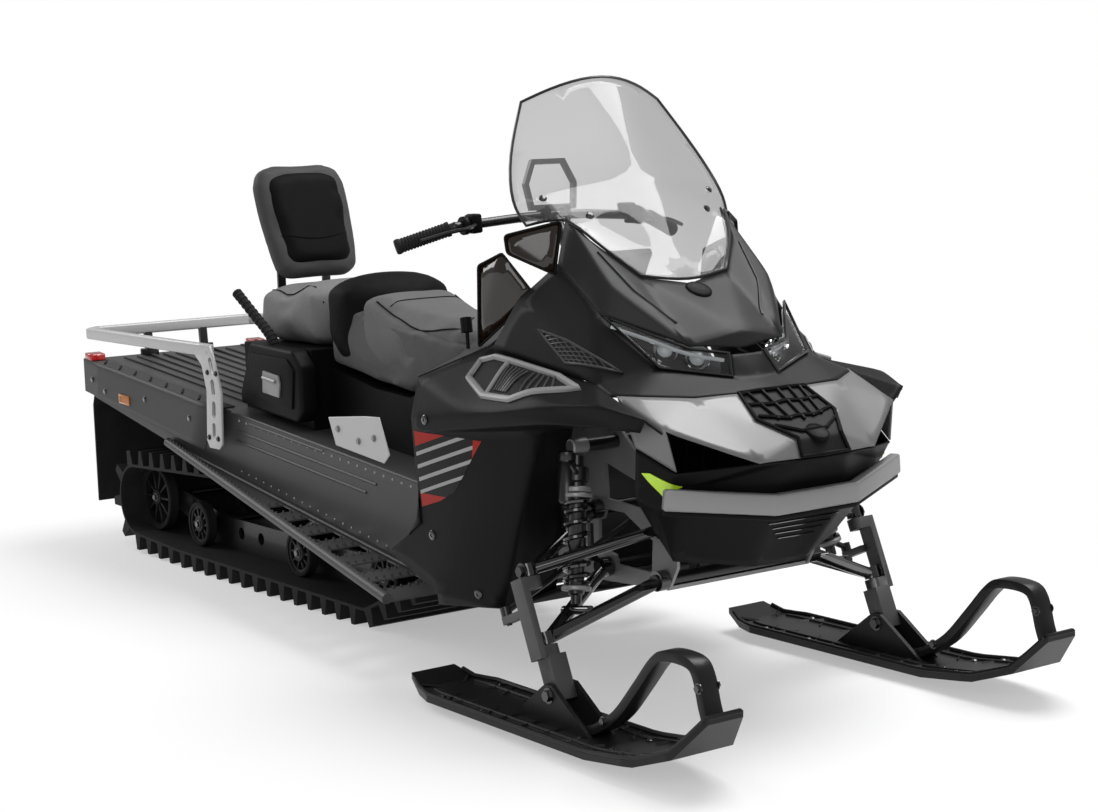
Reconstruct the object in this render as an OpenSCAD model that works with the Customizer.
// Two-up utility snowmobile: body, chassis, suspension, track and steering.
// +X points to the nose, +Y to the left, +Z up; the floor is z = 0.

/* [Overall] */
// Length from ski tips to snow flap
overall_l = 3300; // [3000:10:3600]
// Height from the floor to the top of the windshield
overall_h = 1372; // [1250:1:1500]
// Width across the side panels
body_w = 920; // [860:5:1000]
// Distance between the ski centre lines
ski_stance = 930; // [900:5:1080]

/* [Track and wheels] */
// Width of the rubber track
track_w = 508; // [381:1:520]
// Height of the track lugs
lug_h = 44; // [25:1:60]
// Thickness of the track belt
belt_t = 8; // [6:0.5:12]
// Distance from one lug to the next
lug_pitch = 75; // [64:1:90]
// Radius of the small road wheels
road_r = 67; // [55:1:75]
// Radius of the rear idler wheels
idler_r = 102; // [80:1:110]
// Radius of the drive sprockets
drive_r = 92; // [80:1:100]
// Width of each wheel
wheel_w = 32; // [20:1:40]
// Radius of the wheel axles
axle_r = 10; // [8:0.5:14]
// Thickness of the skid rails
rail_t = 12; // [8:1:20]

/* [Chassis] */
// Thickness of the tunnel sheet
tunnel_t = 3; // [2:0.5:6]
// Gap from the track's edge to the tunnel's side wall
track_gap = 13; // [8:1:25]
// Width of each running board
board_w = 190; // [140:5:220]
// Thickness of the running board sheet
board_t = 4; // [3:0.5:8]
// Diameter of the running board's outer rail
board_rail_d = 26; // [18:1:32]
// Thickness of the front frame plates
frame_t = 8; // [5:0.5:14]

/* [Body panels] */
// Thickness of the moulded body panels
panel_t = 5; // [3:0.5:8]
// Thickness of the windshield
shield_t = 4; // [3:0.5:6]
// Thickness of the tinted side deflectors
deflector_t = 4; // [3:0.5:6]
// Gap between two neighbouring panels
seam = 0.6; // [0.4:0.1:0.9]

// Depth of the bumper's bar from front to back
bumper_w = 25; // [18:1:32]
// Height of the bumper's bar
bumper_h = 44; // [36:1:50]

/* [Front suspension and skis] */
// Diameter of the suspension arm tubes
arm_d = 28; // [20:1:34]
// Diameter of the shock absorber spring
spring_d = 64; // [50:1:72]
// Angle of the kingpin from upright
caster = 22.8; // [15:0.1:28]
// Distance between the two kingpin lugs
king_len = 146; // [130:1:170]
// Width of one ski
ski_w = 190; // [150:5:230]
// Thickness of the ski's blade
ski_t = 14; // [10:1:20]
// Width of the ski's handle loop
loop_w = 44; // [30:1:60]
// Height of the keel under the ski
keel_h = 22; // [12:1:30]
// Radius of the ski pivot bolt
ski_bolt_r = 8; // [6:0.5:10]
// Running clearance at pins and bolts
pin_clear = 0.08; // [0.05:0.01:0.1]

/* [Seats] */
// Width of the rider's seat
seat_w = 330; // [280:5:380]
// Width of the passenger's seat
passenger_w = 360; // [300:5:400]
// Width of the backrest pad
backrest_w = 300; // [240:5:340]

/* [Steering] */
// Width over the handlebar grips
bar_w = 800; // [700:10:860]
// Diameter of the handlebar tube
bar_d = 22; // [20:0.5:26]
// Length of each grip
grip_l = 125; // [110:5:140]
// Angle of the steering post from upright
post_angle = 37; // [25:1:40]

/* [Rear carrier] */
// Diameter of the carrier's rails
rack_d = 26; // [20:1:32]
// Radius of the tow hitch pin hole
hitch_r = 8; // [6:0.5:12]
// Radius of the accessory bolt holes in the rear deck
deck_hole_r = 4.5; // [3:0.5:6]

/* [Hidden] */
$fn = 64;

// Design stations are written for the nominal size and stretched to the overall sizes.
kx = overall_l / 3300;
ky = body_w / 920;
kz = overall_h / 1372;
function at(p) = [p[0] * kx, p[1] * ky, p[2] * kz];
function all_at(P) = [for (p = P) at(p)];
function out(P) = [for (p = P) [p[0] * kx, p[1] * kz]];

// ---- chassis lines -------------------------------------------------------------
tunnel_half = track_w / 2 + track_gap + tunnel_t;
tunnel_rear = -1585 * kx;
tunnel_front = 385 * kx;
function tunnel_top(x) = 588 * kz - (x - tunnel_rear) * 177 * kz / (tunnel_front - tunnel_rear);
function board_z(x) = (339 - 0.1346 * (x / kx + 794)) * kz;
board_out = tunnel_half + board_w;

// ---- track loop ------------------------------------------------------------------
belt_out = belt_t + lug_h;
road_z = road_r + belt_out;
idler_z = idler_r + belt_out + 11;
loop_gap = 28;
drive_x = tunnel_front - tunnel_t - loop_gap - belt_out - drive_r;
drive_z = tunnel_top(drive_x) - tunnel_t - loop_gap - belt_out - drive_r;
rear_x = -1366 * kx;
road_xs = [-1081 * kx, -477 * kx, -27 * kx];
// Each wheel of the loop: x, z and radius, counter-clockwise seen with +X to the right
LOOP = [[rear_x, idler_z, idler_r], [road_xs[0], road_z, road_r],
    [road_xs[2], road_z, road_r], [drive_x, drive_z, drive_r]];
loop_n = len(LOOP);
function ring(i) = LOOP[(i + loop_n) % loop_n];
function span(a, b) = norm([b[0] - a[0], b[1] - a[1]]);
// Angle at which the belt leaves wheel a for wheel b
function leave(a, b) = atan2(b[1] - a[1], b[0] - a[0]) - acos((a[2] - b[2]) / span(a, b));
function turn(a) = a < 0 ? turn(a + 360) : a >= 360 ? turn(a - 360) : a;
function wrap_start(i) = leave(ring(i - 1), ring(i));
function wrap(i) = turn(leave(ring(i), ring(i + 1)) - wrap_start(i));
function arc_len(i) = wrap(i) * PI / 180 * ring(i)[2];
function line_len(i) = let(a = ring(i), b = ring(i + 1))
    sqrt(pow(span(a, b), 2) - pow(a[2] - b[2], 2));
function sum(v, i = 0) = i < len(v) ? v[i] + sum(v, i + 1) : 0;
belt_len = sum([for (i = [0 : loop_n - 1]) arc_len(i) + line_len(i)]);
lugs = round(belt_len / lug_pitch);
// Point on the belt's inner face at distance s round the loop, moved out by h
function on_loop(s, h, i = 0) = let(w = ring(i))
    s <= arc_len(i) ? let(a = wrap_start(i) + s / w[2] * 180 / PI)
        [w[0] + (w[2] + h) * cos(a), w[1] + (w[2] + h) * sin(a)]
    : s <= arc_len(i) + line_len(i) ? let(a = leave(w, ring(i + 1)), d = s - arc_len(i))
        [w[0] + (w[2] + h) * cos(a) - d * sin(a), w[1] + (w[2] + h) * sin(a) + d * cos(a)]
    : i < loop_n - 1 ? on_loop(s - arc_len(i) - line_len(i), h, i + 1)
    : on_loop(s - arc_len(i) - line_len(i), h, 0);
lug_foot = 34;
lug_tip = 16;

// ---- kingpins and skis -------------------------------------------------------------
king_y = ski_stance / 2;
king_x = 1094 * kx;
king_z = 180;
lug_r = 20;
stud_r = 8;
foot_drop = 88.5;
foot_x = 4;
// The ski bolt's place, at the foot of the kingpin
bolt_x = king_x + foot_x * cos(caster) + foot_drop * sin(caster);
bolt_z = king_z + foot_x * sin(caster) - foot_drop * cos(caster);
ball_up = 28;
function mean_x(P) = (P[0][0] + P[1][0]) / 2;
function king_at(h) = [king_x - h * sin(caster), king_y, king_z + h * cos(caster)];
low_ball = king_at(ball_up);
top_ball = king_at(king_len + ball_up);
boss_w = 44;
// Place of a point given in the kingpin's own frame
function king_point(l) = [king_x + l[0] * cos(caster) - l[2] * sin(caster), king_y + l[1],
    king_z + l[0] * sin(caster) + l[2] * cos(caster)];
king_lug_h = 26;
web_y = 22;
web_t = 16;
// Middle of the steering arm's end, and the tie rod's eye above it
arm_t = 16;
tie_at = [-84, 24, 90];
tie_eye_h = 20;
tie_eye = tie_at + [0, 0, (arm_t + tie_eye_h) / 2 + 0.3];
tie_stud_r = 6;

// ---- general shapes ----------------------------------------------------------------
module plate_y(pts, y0, y1)
    translate([0, y1, 0]) rotate([90, 0, 0]) linear_extrude(y1 - y0) polygon(pts);

module rod(a, b, d) {
    v = b - a;
    translate(a) rotate([0, acos(v[2] / norm(v)), atan2(v[1], v[0])])
        cylinder(d = d, h = norm(v));
}

// Straight bar of rectangular section from a to b
module bar(a, b, w, h) {
    v = b - a;
    translate(a) rotate([0, -asin(v[2] / norm(v)), atan2(v[1], v[0])])
        translate([0, -w / 2, -h / 2]) cube([norm(v), w, h]);
}

module bent_tube(pts, d) {
    for (i = [0 : len(pts) - 2]) rod(pts[i], pts[i + 1], d);
    if (len(pts) > 2) for (i = [1 : len(pts) - 2]) translate(pts[i]) sphere(d = d * 1.06);
}

module both() {
    children();
    mirror([0, 1, 0]) children();
}

// ---- moulded panels ------------------------------------------------------------------
// A panel is a list of points and of faces between them; it is given its thickness
// towards the middle of the body, so that two panels that share an edge never cross.
core_z = 480 * kz;
function core(p) = [max(450 * kx, min(950 * kx, p[0])), 0, core_z];
function unit(v) = v / norm(v);
function mean(P) = [sum([for (p = P) p[0]]), sum([for (p = P) p[1]]), sum([for (p = P) p[2]])]
    / len(P);
function triangles(F) = [for (f = F) for (k = [1 : len(f) - 2]) [f[0], f[k], f[k + 1]]];
// The way into the body at a point: towards its middle, or the push that is given
function normal_of(P, f) = unit(cross(P[f[1]] - P[f[0]], P[f[2]] - P[f[0]]));
// Way in from a point: to the core where that goes behind every face there, else square to them
function inward(P, F, i, push) = !is_undef(push) ? unit(push) : let(c = unit(core(P[i]) - P[i]),
    N = [for (f = F) if (f[0] == i || f[1] == i || f[2] == i) normal_of(P, f)])
    len(N) == 0 || max([for (n = N) c * n]) < -0.25 ? c : -unit(mean(N));
function shared(F, a, b) = len([for (f = F) for (k = [0 : 2]) if (f[k] == b && f[(k + 1) % 3] == a) 1]);
function rim(F) = [for (f = F) for (k = [0 : 2]) let(a = f[k], b = f[(k + 1) % 3])
    if (shared(F, a, b) == 0) [a, b]];
function on_rim(R, i) = len([for (e = R) if (e[0] == i || e[1] == i) 1]) > 0;
// Pulls a rim point back from the seam by half its width
function trimmed(P, F, R, i) = !on_rim(R, i) ? P[i] : let(
    near = [for (f = F) if (f[0] == i || f[1] == i || f[2] == i) mean([for (k = f) P[k]])],
    d = mean(near) - P[i]) P[i] + d / norm(d) * seam / 2 * 1.4;

module solid_sheet(Q, I, F, R) {
    n = len(Q);
    polyhedron(concat(Q, I), concat(
        [for (f = F) [f[2], f[1], f[0]]],
        [for (f = F) [f[0] + n, f[1] + n, f[2] + n]],
        [for (e = R) [e[0], e[1], e[1] + n]],
        [for (e = R) [e[0], e[1] + n, e[0] + n]]));
}

module panel(points, faces, t = panel_t, push = undef) {
    P = all_at(points);
    F = triangles(faces);
    R = rim(F);
    Q = [for (i = [0 : len(P) - 1]) trimmed(P, F, R, i)];
    solid_sheet(Q, [for (i = [0 : len(P) - 1]) Q[i] + inward(P, F, i, push) * t], F, R);
}

// The points of the left half, with the right half mirrored from them
module whole_panel(points, faces, t = panel_t, push = undef) {
    n = len(points);
    other = [for (i = [0 : n - 1]) points[i][1] == 0 ? i : i + n];
    P = concat(points, [for (p = points) [p[0], -p[1], p[2]]]);
    F = concat(faces, [for (f = faces) [for (k = [0 : len(f) - 1]) other[f[(len(f) - k) % len(f)]]]]);
    panel(P, F, t, push);
}

// ---- chassis ---------------------------------------------------------------------------
module tunnel() {
    lip = tunnel_t / cos(5);
    side = [[tunnel_rear, tunnel_top(tunnel_rear)], [tunnel_front, tunnel_top(tunnel_front)],
        [tunnel_front, board_z(tunnel_front)], [-1050 * kx, board_z(-1050 * kx)],
        [tunnel_rear, 468 * kz]];
    hollow = [[tunnel_rear - 1, tunnel_top(tunnel_rear) - lip],
        [tunnel_front - tunnel_t, tunnel_top(tunnel_front) - lip],
        [tunnel_front - tunnel_t, 0], [tunnel_rear - 1, 0]];
    color("dimgray") difference() {
        plate_y(side, -tunnel_half, tunnel_half);
        plate_y(hollow, -tunnel_half + tunnel_t, tunnel_half - tunnel_t);
        for (x = deck_bolt_x, y = [-deck_bolt_y, deck_bolt_y])
            translate([x, y, 300 * kz]) cylinder(r = deck_hole_r, h = 400 * kz);
    }
}
deck_bolt_x = [-1420 * kx, -1020 * kx];
deck_bolt_y = 180;

// Running board: an open sheet that widens to the front, with its outer rail
board_rear = -1050 * kx;
board_front = 430 * kx;
function board_edge(x) = tunnel_half + board_w * (x - board_rear) / (board_front - board_rear);
module running_boards() {
    steps = 5;
    color("dimgray") both() {
        difference() {
            intersection() {
                plate_y([[board_rear, board_z(board_rear)], [board_front, board_z(board_front)],
                    [board_front, board_z(board_front) - board_t],
                    [board_rear, board_z(board_rear) - board_t]], tunnel_half, board_out);
                linear_extrude(overall_h) polygon([[board_rear, tunnel_half],
                    [board_front, tunnel_half], [board_front, board_out]]);
            }
            for (i = [0 : steps]) {
                x = board_front - 60 * kx - i * 130 * kx;
                wide = board_edge(x - 80 * kx) - tunnel_half - 30;
                translate([x - 80 * kx, tunnel_half + 16, 0]) cube([60 * kx, wide, overall_h]);
            }
        }
        rod([board_rear, tunnel_half + board_rail_d / 2, board_z(board_rear) + 6],
            [board_front, board_out - board_rail_d / 2 + 4, board_z(board_front) + 6],
            board_rail_d);
    }
}

// Front frame: two side plates, a floor and the cross tubes that carry the arms
frame_half = 200;
frame_rear = tunnel_front;
arm_pins = [[955, 300], [1150, 300]];
top_pins = [[925, 424], [1165, 414]];
frame_floor = [[385, 208], [598, 218], [858, 270], [1160, 286]];
module front_frame() {
    outline = out([[385, 200], [385, 405], [640, 470], [900, 605], [1010, 605], [1190, 450],
        [1190, 330], [1160, 278], [860, 262], [600, 210]]);
    windows = [[[470, 250], [470, 380], [620, 420], [700, 280]],
        [[740, 300], [700, 440], [860, 530], [850, 340]],
        [[880, 300], [880, 388], [902, 388], [902, 330], [925, 305]],
        [[922, 340], [922, 402], [938, 402], [950, 426], [1014, 426], [1110, 378], [1105, 308],
            [985, 308], [978, 328]],
        [[955, 450], [950, 530], [1060, 500], [1100, 440]]];
    color("silver") both() difference() {
        plate_y(outline, frame_half - frame_t, frame_half);
        for (w = windows) plate_y(out(w), 0, overall_h);
        for (p = concat(arm_pins, top_pins)) cross_tube(at([p[0], 0, p[1]]), arm_d + 0.6);
        cross_tube(shock_head, head_tube_d + 0.6);
    }
}
// A tube straight across the frame
module cross_tube(p, d) translate([p[0], 0, p[2]]) rotate([90, 0, 0])
    cylinder(d = d, h = 2 * shock_top_y, center = true);
module frame_tubes() {
    color("silver") {
        cross_tube(shock_head, head_tube_d);
        for (p = concat(arm_pins, top_pins)) intersection() {
            cross_tube(at([p[0], 0, p[1]]), arm_d);
            cube([5 * overall_l, 2 * frame_half + 60, 5 * overall_h], center = true);
        }
    }
}
module frame_floor() {
    in = frame_half - frame_t - 0.3;
    color("silver") {
        plate_y(concat(out([[385, 200], [600, 210], [860, 262], [1160, 278]]),
            out([for (i = [3 : -1 : 0]) frame_floor[i]])), -in, in);
        // Feet that carry the belly pan
        for (x = [680 * kx, 800 * kx], y = [-110, 110]) let(z = pan_z(x) + panel_t * 1.02 + 2)
            translate([x, y, z]) cylinder(d = 24, h = lookup(x / kx, frame_floor) * kz - 3 - z);
        // Posts and horns that carry the nose cover and the bumper
        both() {
            plate_y(out([[1096, 276], [1105, 450], [1134, 450], [1122, 278]]), 84, 92);
            plate_y([[1106 * kx, 430 * kz], [1121 * kx, 433 * kz], [horn_x, 470 * kz],
                [horn_x, 492 * kz], [1106 * kx, 462 * kz]], 84, 92);
        }
    }
}
horn_x = (1400 - 14) * kx - panel_t - 0.6;
module post_bearing() {
    in = frame_half - frame_t - 0.3;
    seat = [post_end[0], post_end[2]];
    color("silver") difference() {
        union() {
            plate_y([for (q = [[-70, -94], [37, -39], [37, -9], [-70, -34]]) seat + q], -in, in);
            rod(post_end - post_dir * 12, post_end + post_dir * 36, post_d + 24);
        }
        rod(post_end - post_dir * 30, post_end + post_dir * 60, post_d + 0.16);
    }
}
shock_top_y = 285;
head_tube_d = 30;

module engine() {
    rest = [for (p = [frame_floor[0], frame_floor[1], frame_floor[2]]) [p[0], p[1] + 0.3]];
    color("gray") intersection() {
        plate_y(concat(out(rest), out([[858, 560], [385, 560]])), -170, 170);
        translate([430 * kx, -200, 0]) cube([330 * kx, 400, overall_h]);
    }
}

module drive_axle() {
    color("gray") translate([drive_x, 0, drive_z]) rotate([90, 0, 0]) {
        cylinder(r = axle_r + 3, h = 2 * (tunnel_half - tunnel_t), center = true);
        for (y = [-110, 110]) translate([0, 0, y])
            cylinder(r = drive_r - wheel_gap, h = wheel_w, center = true);
    }
}

// ---- track and skid ------------------------------------------------------------------------
module track() {
    step = belt_len / lugs;
    outer = [for (k = [0 : lugs - 1]) for (q = [[0, belt_t], [lug_foot / 2 - lug_tip / 2, belt_out],
        [lug_foot / 2 + lug_tip / 2, belt_out], [lug_foot, belt_t],
        [lug_foot + (step - lug_foot) / 2, belt_t]]) on_loop(k * step + q[0], q[1])];
    inner = [for (k = [0 : 5 * lugs - 1]) on_loop(k * step / 5, 0)];
    color("black") translate([0, track_w / 2, 0]) rotate([90, 0, 0]) linear_extrude(track_w)
        difference() {
            polygon(outer);
            polygon(inner);
        }
}

rail_y = 120;
rail_low = belt_out + 0.3;
cross_pins = [[-250 * kx, 112], [-700 * kx, 112]];
module skid_rails() {
    color("dimgray") {
        both() difference() {
            plate_y([[rear_x - 35, idler_z - 22], [road_xs[0] - 60 * kx, rail_low + 22],
                [road_xs[0], rail_low], [road_xs[2] - 35 * kx, rail_low],
                [road_xs[2] + 45 * kx, rail_low + 32], [road_xs[2] + 70 * kx, rail_low + 60],
                [road_xs[2] + 50 * kx, rail_low + 85], [road_xs[2] - 40 * kx, rail_low + 75],
                [-200 * kx, rail_low + 92], [road_xs[0] + 60 * kx, rail_low + 92],
                [rear_x + 100 * kx, idler_z + 20], [rear_x - 30, idler_z + 22]],
                rail_y - rail_t / 2, rail_y + rail_t / 2);
            for (x = [-920, -800, -600, -360]) translate([x * kx, rail_y, rail_low + 52])
                rotate([90, 0, 0]) cylinder(r = 18, h = rail_t + 2, center = true);
        }
        translate([rear_x, 0, idler_z]) axle();
        for (x = road_xs) translate([x, 0, road_z]) axle();
        for (p = cross_pins) translate([p[0], 0, p[1]]) rotate([90, 0, 0])
            cylinder(r = axle_r, h = 2 * rail_y, center = true);
    }
}
wheel_y = 170;
wheel_gap = 0.6;
module axle() rotate([90, 0, 0])
    cylinder(r = axle_r, h = 2 * wheel_y + wheel_w + 10, center = true);

module wheel_pair(x, z, r) {
    for (y = [-wheel_y, wheel_y]) translate([x, y, z]) rotate([90, 0, 0]) difference() {
        cylinder(r = r - wheel_gap, h = wheel_w, center = true);
        cylinder(r = axle_r + 0.05, h = wheel_w + 2, center = true);
        for (side = [-1, 1]) translate([0, 0, side * wheel_w / 2]) difference() {
            cylinder(r = r * 0.78, h = 16, center = true);
            cylinder(r = axle_r + 10, h = 18, center = true);
        }
    }
}
module idler_wheels() {
    color("dimgray") {
        wheel_pair(rear_x, idler_z, idler_r);
        for (x = road_xs) wheel_pair(x, road_z, road_r);
    }
}

// Suspension arms between the tunnel and the rails, with their shocks
front_pivot = [20 * kx, board_z(20 * kx) + 30];
rear_pivot = [-300 * kx, board_z(-300 * kx) + 22];
module pivot_tube(p) translate([p[0], 0, p[1]]) rotate([90, 0, 0])
    cylinder(r = 12, h = 2 * (tunnel_half - tunnel_t), center = true);
module skid_arms() {
    arm_y = 80;
    color("dimgray") for (q = [[front_pivot, cross_pins[0]], [rear_pivot, cross_pins[1]]]) {
        pivot_tube(q[0]);
        both() difference() {
            rod([q[0][0], arm_y, q[0][1]], [q[1][0], arm_y, q[1][1] + 4], 24);
            translate([q[1][0], 0, q[1][1]]) rotate([90, 0, 0])
                cylinder(r = axle_r + 0.05, h = 400, center = true);
        }
        difference() {
            rod([q[0][0], 0, q[0][1]], [q[1][0], 0, q[1][1] + 4], 46);
            translate([q[1][0], 0, q[1][1]]) rotate([90, 0, 0])
                cylinder(r = axle_r + 0.05, h = 400, center = true);
        }
    }
}

// ---- front suspension -----------------------------------------------------------------------
module king_frame(p) translate(p) rotate([0, -caster, 0]) children();
module ball_end(p, h = 26) king_frame(p) {
    cylinder(r = 18, h = h, center = true);
    translate([0, 0, -ball_up - 8]) cylinder(r = stud_r, h = ball_up);
}
arm_mid = [mean_x(arm_pins) * kx, frame_half + 14, arm_pins[0][1] * kz];
shock_foot = arm_mid + (low_ball - arm_mid) * 0.62 + [-12, 0, 5];
shock_head = [990 * kx, shock_top_y + 16, 580 * kz];
module arm_eye(p) translate([p[0] * kx, 0, p[1] * kz]) rotate([90, 0, 0]) {
    translate([0, 0, -frame_half - 26]) cylinder(d = arm_d + 16, h = 24);
}
module cut_pins(P) for (p = P) translate([p[0] * kx, 0, p[1] * kz]) rotate([90, 0, 0])
    cylinder(d = arm_d + 0.3, h = 2 * overall_h, center = true);
module lower_arms() {
    color("black") both() {
        difference() {
            union() {
                for (p = arm_pins) {
                    arm_eye(p);
                    rod([p[0] * kx, frame_half + 14, p[1] * kz], low_ball + [0, -8, 0], arm_d);
                }
                rod(shock_foot + [52, 0, 8], shock_foot + [-42, 0, -8], 20);
                king_frame(low_ball) cylinder(r = 18, h = 26, center = true);
            }
            cut_pins(arm_pins);
        }
        king_frame(low_ball) translate([0, 0, -ball_up - 8]) cylinder(r = stud_r, h = ball_up);
    }
}
module upper_arms() {
    color("black") both() {
        difference() {
            union() {
                for (p = top_pins) {
                    arm_eye(p);
                    rod([p[0] * kx, frame_half + 14, p[1] * kz], top_ball + [0, -8, 0],
                        arm_d * 0.85);
                }
                king_frame(top_ball) cylinder(r = 18, h = 26, center = true);
            }
            cut_pins(top_pins);
        }
        king_frame(top_ball) translate([0, 0, -ball_up - 8]) cylinder(r = stud_r, h = ball_up);
    }
}

module front_shocks() {
    d = unit(shock_head - shock_foot);
    a = shock_foot + d * 10.3;
    b = shock_head;
    color("black") both() {
        rod(a, b, 24);
        rod(a + d * 40, a + d * (norm(b - a) - 110), spring_d);
        rod(a + d * (norm(b - a) - 150), a + d * (norm(b - a) - 30), 50);
    }
}

// Knuckle, drawn in the frame of its kingpin
module knuckle() {
    color("silver") king_frame([king_x, king_y, king_z]) {
        for (h = [0, king_len]) translate([0, 0, h]) difference() {
            union() {
                cylinder(r = lug_r, h = king_lug_h, center = true);
                translate([-lug_r, 0, -king_lug_h / 2]) cube([2 * lug_r, web_y + 2, king_lug_h]);
            }
            cylinder(r = stud_r + pin_clear, h = king_lug_h + 2, center = true);
        }
        translate([-lug_r, web_y, -king_lug_h / 2])
            cube([2 * lug_r, web_t, king_len + king_lug_h]);
        difference() {
            translate([-20, -boss_w / 2, -foot_drop - 16])
                cube([44, boss_w, foot_drop + 20 - king_lug_h / 2]);
            translate([foot_x, 0, -foot_drop]) rotate([90, 0, 0])
                cylinder(r = ski_bolt_r + pin_clear, h = 3 * boss_w, center = true);
            cylinder(r = stud_r + 4, h = 2 * (ball_up + 8), center = true);
        }
        difference() {
            union() {
                translate([tie_at[0], tie_at[1] - 13, tie_at[2] - arm_t / 2])
                    cube([-tie_at[0] - lug_r + 2, 26, arm_t]);
                translate(tie_at) cylinder(r = 13, h = arm_t, center = true);
            }
            translate(tie_at) cylinder(r = tie_stud_r + pin_clear, h = 2 * arm_t, center = true);
        }
    }
}

// Tie rod; its inner end is free inside the front frame
tie_inner = [975 * kx, 100, 422 * kz];
module tie_rod() {
    eye = king_point(tie_eye);
    color("gray") {
        king_frame(eye) cylinder(r = 12, h = tie_eye_h, center = true);
        king_frame(eye) translate([0, 0, -arm_t - tie_eye_h / 2 - 4])
            cylinder(r = tie_stud_r, h = arm_t + tie_eye_h / 2 + 4);
        rod(eye + unit(tie_inner - eye) * 6, tie_inner, 14);
        translate(tie_inner) sphere(r = 12);
    }
}

// ---- skis -------------------------------------------------------------------------------------
ski_rear = 640 * kx;
ski_tip = 1650 * kx;
rib_gap = boss_w / 2 + 1.5;
rib_t = 10;
// Underside of the ski, from its tail to its tip
ski_line = [[ski_rear, keel_h + 22], [ski_rear + 60, keel_h], [1330 * kx, keel_h],
    [1480 * kx, keel_h + 18], [1580 * kx, keel_h + 52], [ski_tip, keel_h + 128]];
function ski_top(x) = lookup(x, ski_line) + ski_t;
module ski_blade() {
    side = concat(ski_line, [for (i = [len(ski_line) - 1 : -1 : 0]) ski_line[i] + [0, ski_t]]);
    half = ski_w / 2;
    intersection() {
        plate_y(side, king_y - half, king_y + half);
        linear_extrude(overall_h) polygon([[ski_rear, king_y - half * 0.6],
            [ski_rear + 120, king_y - half], [1450 * kx, king_y - half],
            [1570 * kx, king_y - half * 0.85], [ski_tip, king_y - half * 0.45],
            [ski_tip, king_y + half * 0.45], [1570 * kx, king_y + half * 0.85],
            [1450 * kx, king_y + half], [ski_rear + 120, king_y + half],
            [ski_rear, king_y + half * 0.6]]);
    }
}
module ski() {
    top = keel_h + ski_t;
    color("black") {
        ski_blade();
        plate_y([[ski_rear + 130, keel_h + 1], [ski_rear + 190, 0], [1280 * kx, 0],
            [1340 * kx, keel_h + 1]], king_y - 14, king_y + 14);
        both_ribs() plate_y([[bolt_x - 130, top - 1], [bolt_x - 24, bolt_z + 14],
            [bolt_x - 12, bolt_z + 22], [bolt_x + 12, bolt_z + 22], [bolt_x + 24, bolt_z + 14],
            [bolt_x + 140, top - 1]], king_y + rib_gap, king_y + rib_gap + rib_t);
        translate([bolt_x, king_y, bolt_z]) rotate([90, 0, 0])
            cylinder(r = ski_bolt_r, h = 2 * (rib_gap + rib_t) + 16, center = true);
    }
}
module both_ribs() {
    children();
    translate([0, 2 * king_y, 0]) mirror([0, 1, 0]) children();
}
module ski_loop() {
    top = keel_h + ski_t + 0.3;
    color("black") plate_y(concat(
        [[1215 * kx, top]], out([[1255, 58], [1330, 110], [1460, 240], [1490, 259], [1568, 259],
        [1596, 238]]), [[1634 * kx, ski_top(1634 * kx) + 0.4], [1600 * kx, ski_top(1600 * kx) + 0.4]],
        out([[1576, 216], [1556, 236], [1498, 236], [1475, 222], [1345, 92], [1290, 52]]),
        [[1270 * kx, top]]), king_y - loop_w / 2, king_y + loop_w / 2);
}

// ---- body panels ---------------------------------------------------------------------------------
module side_panel() {
    P = [[583, 460, 622], [808, 455, 646], [1052, 430, 684], [1195, 400, 694], [1297, 360, 670],
        [567, 430, 706], [713, 326, 772], [1080, 318, 721], [1149, 330, 702], [1303, 320, 639],
        [586, 460, 586], [1050, 430, 647], [1280, 360, 642],
        [600, 455, 382], [459, 460, 300], [779, 450, 434], [983, 400, 620],
        [925, 262, 620], [645, 450, 229], [619, 430, 195], [830, 395, 215], [850, 268, 243],
        [870, 262, 430], [1150, 339, 643]];
    panel(P, [[5, 6, 1, 0], [6, 7, 2, 1], [7, 8, 3, 2], [8, 9, 4, 3], [0, 1, 10], [1, 2, 11, 10],
        [2, 3, 12, 11], [3, 4, 12], [10, 11, 16, 15], [10, 15, 13], [13, 15, 18, 14],
        [11, 12, 23, 16], [16, 23, 17], [15, 16, 20, 18], [16, 17, 22, 20], [18, 20, 19],
        [22, 21, 20]]);
}
module side_panel_left() color("dimgray") side_panel();
module side_panel_right() color("dimgray") mirror([0, 1, 0]) side_panel();

// Underside of the belly pan under the frame
function pan_z(x) = (180 + (x / kx - 600) * 32 / 230) * kz;
module belly_pan() {
    color("black") whole_panel([[600, 0, 180], [600, 200, 180], [617, 428, 193], [830, 0, 212],
        [828, 391, 213], [866, 267, 243], [900, 0, 232], [900, 180, 236]],
        [[0, 1, 3], [1, 4, 3], [1, 2, 4], [3, 4, 5, 7], [3, 7, 6]]);
}

// Lower nose cover between the bumper and the suspension arms
module nose_pan() {
    color("black") whole_panel([[1300, 0, 330], [1290, 70, 330], [1212, 228, 352],
        [1250, 300, 470], [1386, 0, 462], [1386, 104, 462], [1302, 287, 486], [1204, 316, 492],
        [1180, 240, 400], [1386, 0, 508], [1386, 104, 508], [1297, 288, 514], [1210, 322, 520],
        [1434, 0, 570], [1429, 66, 570], [1410, 160, 569], [1316, 300, 555], [1225, 329, 600]],
        [[1, 5, 4, 0], [2, 6, 5, 1], [3, 6, 2], [8, 7, 3, 2], [7, 6, 3], [5, 10, 9, 4],
        [6, 11, 10, 5], [7, 12, 11, 6], [10, 14, 13, 9], [11, 16, 15, 14, 10], [12, 17, 16, 11]]);
}

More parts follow.
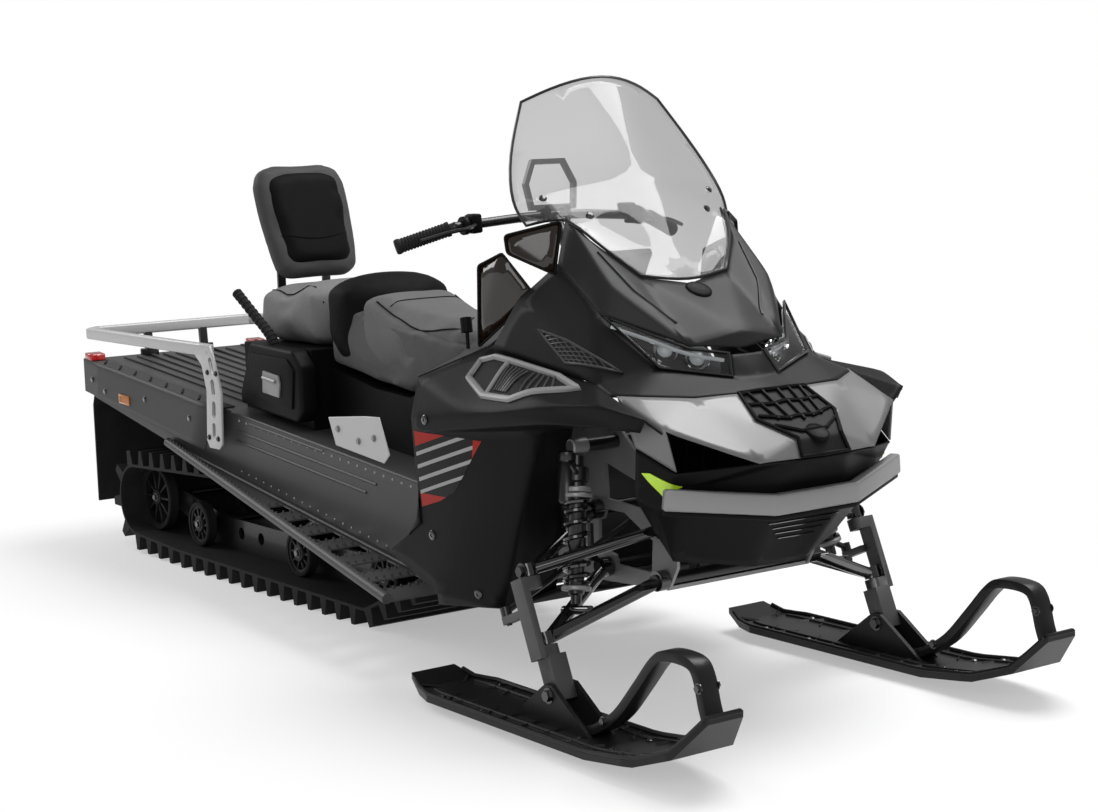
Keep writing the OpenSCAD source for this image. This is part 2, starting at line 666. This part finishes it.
// Cover between the rider's seat and the windshield, round the steering post
module console() {
    color("dimgray") difference() {
        whole_panel([[345, 90, 770], [345, 0, 780], [440, 240, 730], [560, 426, 708],
            [700, 326, 778], [560, 150, 800], [560, 0, 800], [700, 60, 880], [700, 0, 880],
            [760, 240, 860]],
            [[6, 5, 0, 1], [5, 2, 0], [5, 4, 3, 2], [8, 7, 5, 6], [7, 9, 4, 5]]);
        post_room();
    }
}

module cowl() {
    color("dimgray") whole_panel([[861, 220, 1062], [919, 200, 1010], [988, 120, 928],
        [1011, 0, 908], [1018, 225, 914], [1163, 130, 790], [1185, 0, 815], [1013, 250, 857],
        [1179, 0, 776], [860, 245, 960]],
        [[0, 1, 4], [1, 2, 5, 4], [2, 3, 6, 5], [4, 5, 7], [0, 4, 7, 9], [6, 8, 5]]);
}

module hood() {
    color("dimgray") whole_panel([[860, 245, 960], [1013, 250, 857], [1196, 44, 768],
        [1156, 205, 748], [1222, 62, 722], [1235, 0, 720], [713, 326, 772], [1080, 318, 721],
        [1149, 330, 703], [1197, 296, 702], [1258, 200, 695], [1269, 90, 695], [1285, 0, 697],
        [780, 300, 880], [1198, 0, 767]],
        [[13, 0, 1, 7], [6, 13, 7], [1, 3, 7], [3, 9, 8, 7], [3, 4, 10, 9], [4, 11, 10],
        [4, 5, 12, 11], [2, 14, 5, 4]]);
}

module headlights() {
    color("lightgray") both() panel([[1034, 252, 851], [1168, 136, 785], [1194, 50, 770],
        [1221, 65, 725], [1157, 207, 751]], [[0, 1, 4], [1, 2, 3, 4]], 3);
}

module grille() {
    color("black") whole_panel([[1269, 90, 695], [1285, 0, 697], [1345, 108, 648],
        [1415, 60, 612], [1418, 0, 612], [1432, 66, 575], [1436, 0, 575]],
        [[0, 1, 4, 3, 2], [3, 4, 6, 5]]);
}

module front_fairings() {
    color("silver") both() panel([[1160, 324.5, 703.5], [1198.5, 296, 702], [1259.5, 200, 695],
        [1270.5, 90, 695], [1345, 108, 648], [1415, 60, 612], [1432, 66, 575], [1412, 160, 573],
        [1308, 318.5, 645], [1225, 330, 604], [1317, 300, 559]],
        [[0, 1, 8], [1, 2, 8], [2, 3, 4], [2, 4, 7, 8], [4, 5, 7], [5, 6, 7], [0, 8, 9],
        [8, 10, 9]]);
}

// Bumper: an extruded bar bent twice
module front_bumper() {
    bend = [1386 * kx + 0.6 + bumper_w / 2, 110 * ky, 480 * kz];
    end = [1308 * kx, 320 * ky, 505 * kz];
    color("gray") {
        bar(bend, [bend[0], -bend[1], bend[2]], bumper_w, bumper_h);
        both() {
            bar(bend, end, bumper_w, bumper_h);
            translate(bend) cylinder(d = bumper_w * 1.02, h = bumper_h, center = true);
        }
    }
}

module windshield() {
    outline = [[719, 0, 1372], [700, 110, 1350], [670, 195, 1312], [720, 270, 1190],
        [774, 303, 1089], [804, 286, 1042.5], [864.4, 222, 1064.6], [922.4, 201, 1012.6],
        [991.4, 121, 930.6], [1014.4, 0, 910.6], [870, 0, 1140]];
    color("lightblue", 0.4) whole_panel(outline, [[1, 0, 10], [3, 2, 1, 10], [4, 3, 10], [6, 5, 4, 10], [9, 8, 7, 6, 10]], shield_t, [-0.87, 0, -0.5]);
}

module wind_deflectors() {
    color("saddlebrown", 0.7) both() {
        panel([[650, 318, 770], [670, 326, 955], [760, 322, 985], [812, 274, 892]],
            [[0, 1, 2, 3]], deflector_t, [0, -1, 0]);
        panel([[785, 332, 1024], [866, 236, 1052], [863, 255, 936.5], [790, 330, 985]],
            [[0, 1, 2, 3]], deflector_t, [-0.8, 0.6, 0]);
    }
}

module foot_guards() {
    color("dimgray") both() panel([[559, 424, 706], [577, 458, 620], [580, 458, 586],
        [594, 453, 384], [440, 280, 700], [392, 274, 560], [392, 274, 330], [455, 455, 302]],
        [[4, 0, 1, 5], [5, 1, 2, 3], [5, 3, 6], [6, 3, 7]], panel_t, [1, 0, 0]);
}

// ---- seats ------------------------------------------------------------------------------------------
module rider_seat() {
    color("gray") intersection() {
        plate_y(out(concat([[345, 760], [300, 796], [120, 800], [-44, 822], [-200, 870],
            [-290, 878], [-325, 850]], seat_bottom)), -seat_w, seat_w);
        linear_extrude(overall_h) polygon([[360 * kx, -50], [300 * kx, -90], [60 * kx, -seat_w / 2],
            [-330 * kx, -seat_w / 2], [-330 * kx, seat_w / 2], [60 * kx, seat_w / 2],
            [300 * kx, 90], [360 * kx, 50]]);
    }
}
seat_bottom = [[-325, 640], [-100, 600], [66, 590], [250, 660], [330, 720]];
module passenger_seat() {
    color("gray") plate_y(out([[-325.3, 852], [-393, 874], [-560, 850], [-692, 841],
        [-700, 740], [-700, 690.3], [-325.3, 690.3]]), -passenger_w / 2, passenger_w / 2);
}
module backrest_pad() {
    color("black") plate_y(out([[-562, 850.5], [-690, 1190], [-720, 1198], [-765, 1165],
        [-648, 844.6]]), -backrest_w / 2, backrest_w / 2);
}
module backrest_bracket() {
    color("black") both() plate_y(out([[-700.3, 560], [-708, 560], [-708, 1007.5],
        [-700.3, 986.5]]), 60, 84);
}
module seat_base() {
    under = [for (x = [425, -325]) [x * kx, tunnel_top(x * kx) + 0.3]];
    low = [for (x = [-325.3, -700]) [x * kx, tunnel_top(x * kx) + 0.3]];
    color("black") {
        plate_y(concat(out([for (p = seat_bottom) p - [0, 0.5]]),
            out([[345, 735], [425, 715]]), under), -140, 140);
        plate_y(concat(low, out([[-700, 690], [-325.3, 690]])), -200, 200);
    }
}
module grab_handles() {
    d = 28;
    y = 200 + d / 2 + 0.3;
    color("black") both() bent_tube([[-500 * kx, y, 600 * kz], [-490 * kx, y, 700 * kz],
        [-650 * kx, y + 30, 835 * kz]], d);
}

// ---- rear ---------------------------------------------------------------------------------------------
rack_half = 312 * ky;
rack_rear = -1570 * kx;
rack_front = -700 * kx;
rack_z = 672 * kz;
rack_h = 34;
rack_plate_t = 8;
module rack_outline(inset) {
    r = 60 - inset;
    x0 = rack_rear + inset;
    y0 = rack_half - inset;
    polygon(concat([[rack_front, -y0]],
        [for (a = [0 : 15 : 90]) [x0 + r - r * sin(a), -y0 + r - r * cos(a)]],
        [for (a = [90 : 15 : 180]) [x0 + r - r * sin(a), y0 - r - r * cos(a)]],
        [[rack_front, y0]]));
}
module cargo_rack() {
    color("silver") {
        translate([0, 0, rack_z - rack_h / 2]) linear_extrude(rack_h) difference() {
            rack_outline(0);
            translate([1, 0]) rack_outline(rack_d);
        }
        both() plate_y([for (q = [[-780, 655], [-740, 689], [-690, 689], [-640, 560], [-660, 400],
            [-740, 400], [-730, 560], [-760, 650]]) [q[0] * kx, q[1] * kz]],
            rack_half - rack_plate_t, rack_half);
    }
}
cover_out = rack_half - rack_plate_t - 0.3;
cover_t = 4;
module rear_covers() {
    rear = -1578 * kx;
    front = -700 * kx;
    color("dimgray") both() {
        difference() {
            plate_y([[rear, tunnel_top(rear) + cover_t], [front, tunnel_top(front) + cover_t],
                [-773 * kx, board_z(-773 * kx) + 50 * kz], [-940 * kx, 406 * kz],
                [-1417 * kx, 470 * kz], [rear, 490 * kz]], tunnel_half - 30, cover_out);
            plate_y([[rear - 1, tunnel_top(rear - 1) + 0.3], [-700 * kx, tunnel_top(-700 * kx) + 0.3],
                [-700 * kx, 0], [rear - 1, 0]], 0, cover_out - cover_t);
        }
    }
}
hitch_z = 500 * kz;
hitch_w = 60;
module snow_flap() {
    color("black") difference() {
        plate_y([[tunnel_rear - 0.3, tunnel_top(tunnel_rear)], [-1650 * kx, 434 * kz],
            [-1650 * kx, 129 * kz], [-1643 * kx, 129 * kz], [-1643 * kx, 434 * kz],
            [tunnel_rear - 0.3, tunnel_top(tunnel_rear) - 12]], -250, 250);
        translate([-1700 * kx, -hitch_w / 2 - 6, hitch_z - 12])
            cube([120 * kx, hitch_w + 12, 34]);
    }
}
module tail_lights() {
    color("red") both() plate_y([for (q = [[-1570, 0.3], [-1520, 0.3], [-1526, 20], [-1566, 20]])
        [q[0] * kx, tunnel_top(q[0] * kx) + cover_t + q[1]]], cover_out - 50, cover_out);
}
module tow_hitch() {
    back = tunnel_rear + 12;
    color("black") difference() {
        union() {
            translate([-1648 * kx, -hitch_w / 2, hitch_z])
                cube([back + 1648 * kx, hitch_w, 10]);
            plate_y([[back - 8, hitch_z], [back, hitch_z], [back, tunnel_top(back) - tunnel_t - 0.4],
                [back - 8, tunnel_top(back - 8) - tunnel_t - 0.4]], -120, 120);
        }
        translate([-1630 * kx, 0, hitch_z]) cylinder(r = hitch_r, h = 40, center = true);
    }
}

// ---- steering -----------------------------------------------------------------------------------------------
clamp = [510 * kx, 0, 1050 * kz];
post_dir = [-sin(post_angle), 0, cos(post_angle)];
module handlebar() {
    half = bar_w / 2;
    color("dimgray") bent_tube([[457 * kx, -half, 995 * kz], [513 * kx, -280, 1035 * kz],
        [516 * kx, -100, 1047 * kz], clamp, [516 * kx, 100, 1047 * kz],
        [513 * kx, 280, 1035 * kz], [457 * kx, half, 995 * kz]], bar_d);
}
module grips() {
    half = bar_w / 2;
    a = [457 * kx, half, 995 * kz];
    d = unit([513 * kx, 280, 1035 * kz] - a);
    color("black") both() difference() {
        rod(a - d * 6, a + d * grip_l, bar_d + 12);
        rod(a - d * 20, a + d * (grip_l + 10), bar_d + 0.1);
    }
}
module hand_controls() {
    color("black") both() difference() {
        rod([513 * kx, 262, 1036 * kz], [515 * kx, 222, 1039 * kz], 46);
        rod([513 * kx, 280, 1035 * kz], [516 * kx, 100, 1047 * kz], bar_d + 0.1);
    }
}
post_d = 30;
post_end = clamp - post_dir * 540;
module steering_post() {
    color("gray") rod(post_end, clamp - post_dir * (bar_d / 2 + 1), post_d);
}
// Room round the post through the parts above the frame
module post_room() rod(post_end, clamp, post_d + 14);
module hand_loop() {
    wide = [[-66, 12], [66, 12], [76, 75], [48, 132], [-48, 132], [-76, 75]];
    color("lightgray") translate(clamp) rotate([0, -8, 0]) rotate([90, 0, 90])
        linear_extrude(12, center = true) difference() {
            polygon(wide);
            offset(delta = -12) polygon(wide);
        }
}
module dash() {
    color("black") difference() {
        plate_y(out([[640, 848.2], [700, 880.7], [745, 960], [735, 970], [650, 880]]), -110, 110);
        post_room();
    }
}
module shift_lever() {
    color("black") {
        rod([459 * kx, -220, 746.5 * kz], [452 * kx, -217, 790 * kz], 9);
        rod([452 * kx, -217, 785 * kz], [444 * kx, -214, 818 * kz], 28);
    }
}

module on_right() mirror([0, 1, 0]) children();
module knuckle_left() knuckle();
module knuckle_right() on_right() knuckle();
module ski_left() ski();
module ski_right() on_right() ski();
module ski_loop_left() ski_loop();
module ski_loop_right() on_right() ski_loop();
module tie_rod_left() tie_rod();
module tie_rod_right() on_right() tie_rod();

tunnel();
engine();
front_frame();
frame_floor();
frame_tubes();
post_bearing();
belly_pan();
nose_pan();
console();
side_panel_left();
side_panel_right();
hood();
cowl();
windshield();
headlights();
wind_deflectors();
grille();
front_bumper();
front_fairings();
foot_guards();
running_boards();
rider_seat();
passenger_seat();
backrest_pad();
backrest_bracket();
seat_base();
grab_handles();
cargo_rack();
rear_covers();
snow_flap();
tail_lights();
tow_hitch();
track();
skid_rails();
idler_wheels();
drive_axle();
skid_arms();
upper_arms();
lower_arms();
front_shocks();
knuckle_left();
knuckle_right();
ski_left();
ski_right();
ski_loop_left();
ski_loop_right();
tie_rod_left();
tie_rod_right();
handlebar();
grips();
hand_controls();
steering_post();
hand_loop();
dash();
shift_lever();
